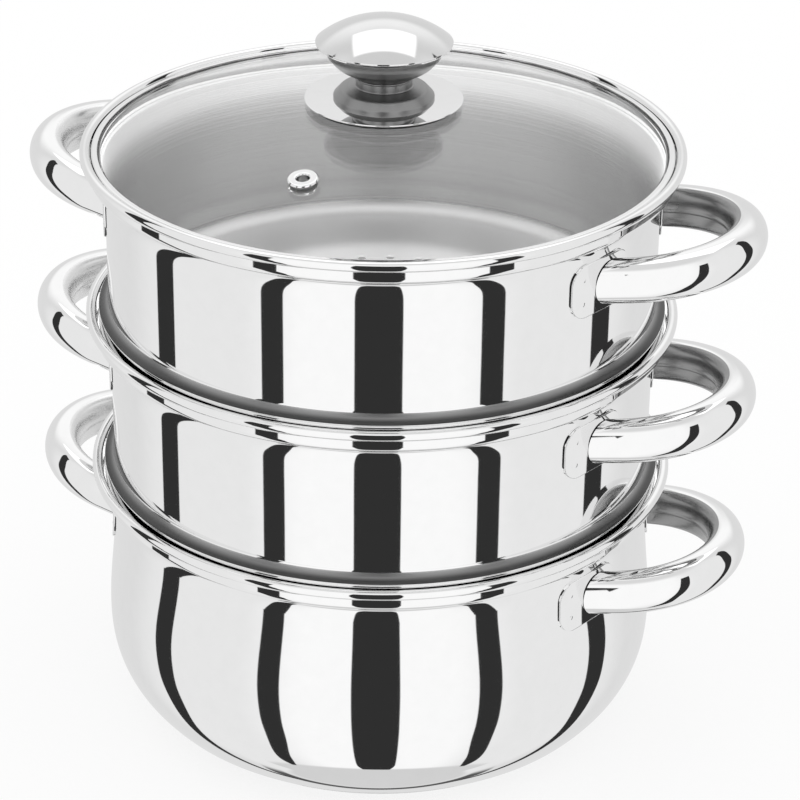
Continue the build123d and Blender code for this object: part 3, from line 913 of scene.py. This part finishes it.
def handle_grid(share, turn):
    """The tube surface over shares along it and turns round it.

    The offset from the centre line is half_width * cos(turn) across and
    half_height * sin(turn) up. On the inner side the cosine is raised to a power
    under one, which flattens it, and a narrow dent makes the seam.
    """
    points, way = handle_line(share)
    across = np.cross(way, [0, 0, 1.0])
    across /= np.linalg.norm(across, axis=-1, keepdims=True)
    up = np.cross(across, way)
    full = np.sin(math.pi * share)
    width = HALF_WIDTH[0] + (HALF_WIDTH[1] - HALF_WIDTH[0]) * full
    tall = HALF_HEIGHT[0] + (HALF_HEIGHT[1] - HALF_HEIGHT[0]) * full
    side = np.cos(turn)
    inner = np.clip(-side, 0, 1)
    side = np.where(side < 0, -inner ** FLAT_POWER * FLAT_WIDTH, side)
    dent = SEAM * np.exp(-((np.abs(turn - math.pi) * tall / SEAM_WIDTH) ** 2))
    offset = width * side + dent
    return points + across * offset[..., None] + up * (tall * np.sin(turn))[..., None]


def spun(points, degrees):
    """Points or normals turned about Z."""
    a = np.radians(degrees)
    x, y, z = points[..., 0], points[..., 1], points[..., 2]
    return np.stack([x * np.cos(a) - y * np.sin(a), x * np.sin(a) + y * np.cos(a), z], -1)


def handle_mesh(swell, height, flare):
    """Grid of the tube; its first and last rows are carried onto the face of the tabs.

    The normals are turned about Z where the tube widens towards its near tab, by
    flare * (1 - share / FLARE_END) ** FLARE_POWER degrees.
    """
    along = np.linspace(TUBE_START, 1 - TUBE_START, TUBE_ALONG)
    round_ = np.linspace(0, 2 * math.pi, TUBE_ROUND + 1)[:-1]
    share, turn = np.meshgrid(along, round_, indexing="ij")
    grid = handle_grid(share, turn)
    ends = []
    for edge, row in ((along[0], grid[0]), (along[-1], grid[-1])):
        way = handle_line(np.array(edge))[1]
        point = row.copy()
        # A few steps along the tube, each by the gap that is left to the tab's face.
        for _ in range(4):
            radius = wall_at(swell, point[:, 2]) + TAB_SHEET
            gap = np.hypot(point[:, 0], point[:, 1]) - radius
            slope = (point[:, :2] @ way[:2]) / np.hypot(point[:, 0], point[:, 1])
            point = point - way * (gap / slope)[:, None]
        ends.append(point)
    near, far = ends
    rest = 1 - END_SHARE
    grid = np.concatenate([
        [near, near * END_SHARE + grid[0] * rest], grid, [far * END_SHARE + grid[-1] * rest, far]
    ])
    along_step = np.gradient(grid, axis=0)
    round_step = np.roll(grid, -1, 1) - np.roll(grid, 1, 1)
    normal = np.cross(round_step, along_step)
    normal /= np.linalg.norm(normal, axis=-1, keepdims=True)
    share = np.pad(along, 2, mode="edge")[:, None]
    normal = spun(normal, flare * np.clip(1 - share / FLARE_END, 0, 1) ** FLARE_POWER)
    rows, columns = grid.shape[:2]
    index = np.arange(rows * columns).reshape(rows, columns)
    faces = ring_faces(index[:-1], index[1:]).tolist()
    grid[..., 2] += height
    inner = np.tile(np.cos(round_ + round_[1] / 2) < LINING_EDGE, rows - 1).astype(int)
    return grid.reshape(-1, 3), faces, normal.reshape(-1, 3), inner


VESSELS = (
    ("pot", True, POT_RIM),
    ("lower_steamer", False, LOWER_RIM),
    ("upper_steamer", False, UPPER_RIM),
)
for body, swell, height in VESSELS:
    for side, turn, flare, lining in LOOPS:
        vertices, faces, normals, inner = handle_mesh(swell, height, flare)
        loop = new_piece(
            f"{body}_loop_{side}", spun(vertices, turn) * MM, faces, spun(normals, turn),
            [MIRROR, lining], body, choice=inner,
        )
        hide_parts(f"{body}_handle_{side}")
print("handles", len(faces), "faces each")

# %% [markdown]
# ## Weld tabs
# A rounded tongue of sheet lies on the wall under each handle end and is held by
# spot welds. It follows the wall's curve, so it is drawn flat, in millimetres
# along the wall and up it, and then wrapped round the axis.

# %% Tabs
TAB_WIDTH, TAB_HEIGHT, TAB_CORNER, TAB_LEAST = 34.0, 22.0, 8.0, 0.3
TAB_TURN, TAB_EDGE, TAB_POINTS = 23.0, 0.45, 96
TAB_INSETS = (1.2, 2.5, 4.0, 5.5, 7.0, 9.0, 10.6)


def tab_outline(inset):
    """Rounded rectangle drawn in by an inset, at equal turns of its corner arcs."""
    bend = max(TAB_CORNER - inset, TAB_LEAST)
    half = np.array([TAB_WIDTH / 2, TAB_HEIGHT / 2]) - inset - bend
    ray = circle(TAB_POINTS, 0.5)
    return np.sign(ray) * half + bend * ray


def tab_normals(bearing, rows, foot):
    """Outward direction of the wall, leaning out over the rounded edge."""
    c, s = np.cos(bearing), np.sin(bearing)
    lean = np.repeat([
        1.0 if rise < foot + 1e-6 else max(0.0, 1 - inset / TAB_EDGE) for inset, rise in rows
    ], TAB_POINTS)[:, None]
    edge = np.tile(circle(TAB_POINTS, 0.5), (len(rows), 1))
    out = np.column_stack([-s * edge[:, 0], c * edge[:, 0], edge[:, 1]])
    normal = np.column_stack([c, s, 0 * c]) * np.sqrt(1 - lean ** 2) + out * lean
    return normal / np.linalg.norm(normal, axis=1, keepdims=True)


def tab_mesh(swell, height, turn):
    """Rows from the wall up over the rounded edge and in to the middle."""
    foot = TAB_SHEET - TAB_EDGE
    rows = [(0.0, 0.0)] + [
        (TAB_EDGE * (1 - math.cos(t)), foot + TAB_EDGE * math.sin(t))
        for t in np.linspace(0, math.pi / 2, 6)
    ] + [(inset, TAB_SHEET) for inset in TAB_INSETS]
    flat = np.concatenate([
        np.column_stack([tab_outline(inset), np.full(TAB_POINTS, rise)]) for inset, rise in rows
    ])
    level = flat[:, 1] - HANDLE_DEPTH
    radius = wall_at(swell, level) + flat[:, 2]
    bearing = math.radians(turn) + flat[:, 0] / WALL
    points = np.column_stack([radius * np.cos(bearing), radius * np.sin(bearing), level + height])
    index = np.arange(len(rows) * TAB_POINTS).reshape(len(rows), TAB_POINTS)
    faces = ring_faces(index[:-1], index[1:]).tolist()
    inner = index[-1]
    for k in range(TAB_POINTS // 2 - 1):
        faces.append([inner[k], inner[k + 1], inner[-2 - k], inner[-1 - k]])
    return points, faces, tab_normals(bearing, rows, foot)


def joined(parts):
    """Several meshes as one: their vertices in a row, faces counted on."""
    vertices, faces, normals, count = [], [], [], 0
    for v, f, n in parts:
        vertices.append(v)
        normals.append(n)
        faces += [[k + count for k in face] for face in f]
        count += len(v)
    return np.concatenate(vertices), faces, np.concatenate(normals)


for body, swell, height in VESSELS:
    vertices, faces, normals = joined([
        tab_mesh(swell, height, middle + end * TAB_TURN)
        for middle in (HANDLE_TURN, 180 - HANDLE_TURN) for end in (-1, 1)
    ])
    tabs = new_piece(body + "_tabs", vertices * MM, faces, normals, [MIRROR], body)
    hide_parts(body + "_handle_tabs")
print("tabs", len(faces), "faces per vessel")

# %% [markdown]
# ## Spot welds
# Two faint round marks show on the free end of every tab. Each is a very low
# dome that stands on the tab, its height falling with the square of the radius.

# %% Spot welds
WELD_RADIUS, WELD_RISE, WELD_SINK = 1.0, 0.12, 0.02
WELD_SPREAD, WELD_OUT = 5.0, 13.8
WELD_TURN = math.degrees(math.asin((SPAN + WELD_OUT) / WALL))
WELD_ROWS, WELD_AROUND = 8, 24


def standing(point, up):
    """A frame at a point, with its Z along a direction."""
    place = Vector(up).normalized().to_track_quat("Z", "Y").to_matrix().to_4x4()
    place.translation = Vector(point)
    return place


def weld_mesh(swell, height, turn, side):
    """One dome, its Z along the radius of the wall."""
    share = np.linspace(1, 0, WELD_ROWS)
    points = np.stack([WELD_RADIUS * share, WELD_RISE * (1 - share ** 2) - WELD_SINK], 1)
    way = np.stack([-np.ones(WELD_ROWS), 2 * WELD_RISE / WELD_RADIUS * share], 1)
    way /= np.linalg.norm(way, axis=1, keepdims=True)
    level = -HANDLE_DEPTH + side * WELD_SPREAD
    reach = float(wall_at(swell, np.array(level))) + TAB_SHEET
    out = spun(np.array([1.0, 0.0, 0.0]), turn)
    place = standing(reach * out + np.array([0, 0, level + height]), out)
    return turned_mesh(points, way, WELD_AROUND, place=place)[:3]


for body, swell, height in VESSELS:
    vertices, faces, normals = joined([
        weld_mesh(swell, height, middle + end * WELD_TURN, side)
        for middle in (HANDLE_TURN, 180 - HANDLE_TURN) for end in (-1, 1) for side in (-1, 1)
    ])
    marks = new_piece(body + "_weld_marks", vertices * MM, faces, normals, [MIRROR], body)
    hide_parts(body + "_spot_welds")
print("weld marks of", len(faces), "faces per vessel")

# %% [markdown]
# ## Glass lid
# The lid is a shallow dome of tempered glass, a piece of a sphere 4 mm thick. Its
# edge sits in a soft ring inside a steel band. The two faces are arcs about one
# centre, so light passes without bending much.

# %% Lid glass
GLASS_RISE, GLASS_LAND, GLASS_DROP, GLASS_SHEET = 17.5, 112.4, 1.9, 4.0
GLASS_EDGE, GLASS_HOLE, GLASS_FOOT, GLASS_ROWS = 113.3, 5.0, 0.4, 90
SAGITTA = GLASS_RISE + GLASS_DROP
SPHERE = (GLASS_LAND ** 2 + SAGITTA ** 2) / (2 * SAGITTA)
SPHERE_CENTRE = GLASS_RISE - SPHERE
VENT_RADIUS, VENT_TURN, VENT_CUT = 71.9, -93.2, 4.2


def dome(radii, depth):
    """Points and headings of a face of the glass: height = centre + sqrt(sphere^2 - radius^2)."""
    reach = SPHERE - depth
    height = SPHERE_CENTRE + np.sqrt(reach ** 2 - radii ** 2)
    way = np.stack([-(height - SPHERE_CENTRE), radii], 1) / reach
    return np.stack([radii, height], 1), way * np.sign(radii[0] - radii[-1])


def vent_point():
    """The middle of the vent on the upper face, in millimetres."""
    a = math.radians(VENT_TURN)
    height = SPHERE_CENTRE + math.sqrt(SPHERE ** 2 - VENT_RADIUS ** 2)
    return np.array([VENT_RADIUS * math.cos(a), VENT_RADIUS * math.sin(a), height])


def lid_glass():
    """Lower face outwards, ground edge, upper face inwards, and the vent hole left open."""
    land = -GLASS_DROP - GLASS_SHEET + GLASS_FOOT
    foot = math.sqrt((SPHERE - GLASS_SHEET) ** 2 - (land - SPHERE_CENTRE) ** 2)
    lower = dome(np.linspace(GLASS_HOLE, foot, GLASS_ROWS), GLASS_SHEET)
    upper = dome(np.linspace(GLASS_LAND, GLASS_HOLE, GLASS_ROWS), 0.0)
    edge = profile([
        (foot, land, 0), (GLASS_EDGE, land, 0.5), (GLASS_EDGE, -GLASS_DROP, 0.5),
        (GLASS_LAND, -GLASS_DROP, 0),
    ])
    bore = profile([(GLASS_HOLE, upper[0][-1][1], 0), (GLASS_HOLE, lower[0][0][1], 0)])
    points, headings = (
        np.concatenate([lower[k], edge[k], upper[k], bore[k]]) for k in (0, 1)
    )
    vertices, faces, normals, _ = turned_mesh(points, headings, AROUND)
    away = np.linalg.norm((vertices - vent_point())[:, :2], axis=1)
    cut = away < VENT_CUT
    faces = [face for face in faces if not cut[face].any()]
    vertices[:, 2] += UPPER_RIM
    glass = new_piece("glass_dome", vertices * MM, faces, normals, [GLASS], "lid")
    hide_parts("lid_glass")


lid_glass()
print("glass sphere of", round(SPHERE), "mm")

# %% [markdown]
# ## Band of the lid
# A strip of steel is rolled round the glass edge. It closes over the top of the
# glass with a narrow rounded flange, which shows as a bright ring.

# %% Band
band = turned(
    "lid_rim_band",
    [
        (110.9, -LEDGE, 0),
        (115.3, -LEDGE, 0.5),
        (115.3, -1.0, 0.9),
        (112.7, -1.0, 0.3),
        (112.7, -1.8, 0),
    ],
    "lid",
    lift=UPPER_RIM,
)
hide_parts("lid_band")
print("band", len(band.data.polygons), "faces")

# %% [markdown]
# ## Vent
# A steel eyelet is riveted through the glass over a soft grommet. It stands on
# the dome, so it leans outwards with it.

# %% Vent
middle = vent_point()
eyelet = turned(
    "vent_ring",
    [
        (2.4, -5.4, 0), (5.2, -5.4, 0.3), (5.2, -4.6, 0), (3.2, -4.6, 0), (3.2, 0.6, 0),
        (6.0, 0.6, 0.2), (6.0, 1.6, 0.9), (2.4, 1.6, 0.9), (2.4, -5.4, 0),
    ],
    "lid",
    place=standing(middle + [0, 0, UPPER_RIM], middle - [0, 0, SPHERE_CENTRE]),
    around=96,
)
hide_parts("vent_eyelet")
print("vent at", [round(v, 1) for v in middle])

# %% [markdown]
# ## Knob
# The knob is a stack of turned shells on one screw: a thin flange on the glass, a
# low bell with a neck, a small bead, a round bowl and an overhanging cap.

# %% Knob
BELL_FOOT = 18.5
NECK_TOP, BEAD_TOP, BOWL_TOP = 26.6, 28.2, 39.8
CAP_RIM, CAP_RIM_HEIGHT, CAP_TOP, CAP_ROUND = 26.9, 41.5, 51.0, 0.25
KNOB_AROUND = 256
# Bell, bead and bowl under the cap: a dark copy of the steel, painted shade.
KNOB_STEEL_PAINTED_SHADE = finish("turned_knob_steel_painted_shade", grained(900.0, 0.26, 0.36, 0.3, 0.06, ring_noise))
# The cap: the mirror polish painted a little darker, as shade.
CAP_STEEL_PAINTED_SHADE = finish("polished_knob_cap_painted_shade", polished(0.80, 0.84, 0.05, 0.03))


def knob_piece(name, corners, node, steps=ROUND_STEPS, material=None):
    """A turned shell of the knob in place of a CAD node."""
    piece = turned(name, corners, "lid", material, UPPER_RIM, steps=steps, around=KNOB_AROUND)
    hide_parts(node)


knob_piece("knob_foot_disc", [
    (4.5, 17.9, 0), (31.3, 17.9, 0.25), (31.3, BELL_FOOT, 0.25), (4.5, BELL_FOOT, 0),
], "knob_flange")
knob_piece("knob_bell", [
    (18.9, BELL_FOOT, 0), (19.9, BELL_FOOT, 0), (19.9, 19.6, 0.8), (17.2, 22.6, 2.0),
    (11.1, 23.5, 0.6), (11.1, NECK_TOP, 0), (4.5, NECK_TOP, 0),
], "knob_stem", material=KNOB_STEEL_PAINTED_SHADE)
knob_piece("knob_bead_ring", [
    (4.5, NECK_TOP, 0), (11.1, NECK_TOP, 0), (12.4, (NECK_TOP + BEAD_TOP) / 2, 0.4),
    (11.1, BEAD_TOP, 0), (4.5, BEAD_TOP, 0),
], "knob_bead", material=KNOB_STEEL_PAINTED_SHADE)
knob_piece("knob_bowl_shell", [
    (4.5, BEAD_TOP, 0), (12.6, BEAD_TOP, 1.0), (19.0, 32.0, 10.0), (23.4, 37.2, 7.0),
    (23.4, BOWL_TOP, 0), (22.5, BOWL_TOP, 0),
], "knob_bowl", steps=24, material=KNOB_STEEL_PAINTED_SHADE)


def knob_cap():
    """Dome of the cap: a sphere through the rim and the top, over a turned edge."""
    rise = CAP_TOP - CAP_RIM_HEIGHT
    sphere = (CAP_RIM ** 2 + rise ** 2) / (2 * rise)
    centre = CAP_TOP - sphere
    radii = np.linspace(CAP_RIM - CAP_ROUND, 0, 40)
    height = centre + np.sqrt(sphere ** 2 - radii ** 2)
    arc = np.stack([radii, height], 1)
    way = np.stack([-(height - centre), radii], 1) / sphere
    under, headings, _ = profile([
        (22.5, BOWL_TOP, 0), (25.6, BOWL_TOP, 0.5), (CAP_RIM, 40.9, 0.4),
        (CAP_RIM, CAP_RIM_HEIGHT, CAP_ROUND), (CAP_RIM - CAP_ROUND, arc[0][1], 0),
    ])
    points = np.concatenate([under, arc])
    headings = np.concatenate([headings, way])
    vertices, faces, normals, _ = turned_mesh(points, headings, KNOB_AROUND, UPPER_RIM)
    cap = new_piece("knob_dome", vertices * MM, faces, normals, [CAP_STEEL_PAINTED_SHADE], "lid")
    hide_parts("knob_cap")


knob_cap()
print("knob pieces done")

# %% [markdown]
# ## End

# %% End
print("all pieces made")
